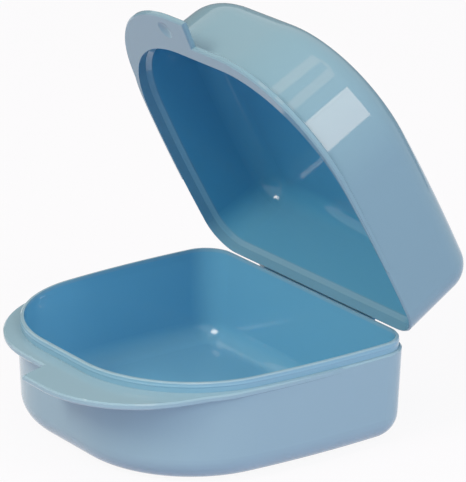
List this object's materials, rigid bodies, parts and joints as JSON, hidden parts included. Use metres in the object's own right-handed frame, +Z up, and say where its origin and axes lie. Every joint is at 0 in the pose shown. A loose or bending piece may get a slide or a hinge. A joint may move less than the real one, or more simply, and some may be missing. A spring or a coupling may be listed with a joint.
{
  "type": "denture case",
  "caption": "Small hinged box that holds a removable denture: a drafted tub with a snap lip, a domed lid on a moulded-in hinge, and thumb tabs side by side at the front.",
  "frame": {"origin": "on the surface the tub stands on, under the middle of the rim", "axes": "+X along the hinge, +Y from the thumb tabs towards the hinge, +Z up"},
  "size_m": [0.0888, 0.1121, 0.1073],
  "materials": {
    "pale_blue_plastic": "glossy injection-moulded polypropylene"
  },
  "bodies": {
    "tub": {"base_tub": "pale_blue_plastic", "living_hinge": "pale_blue_plastic"},
    "lid": {"lid_shell": "pale_blue_plastic"}
  },
  "joints": [
    {"name": "lid_hinge", "type": "hinge", "parent": "tub", "child": "lid", "pos_m": [0, 0.04155, 0.02485], "axis": [-1, 0, 0], "range_deg": [-61.4, 113.6], "deforming": ["living_hinge"]}
  ]
}
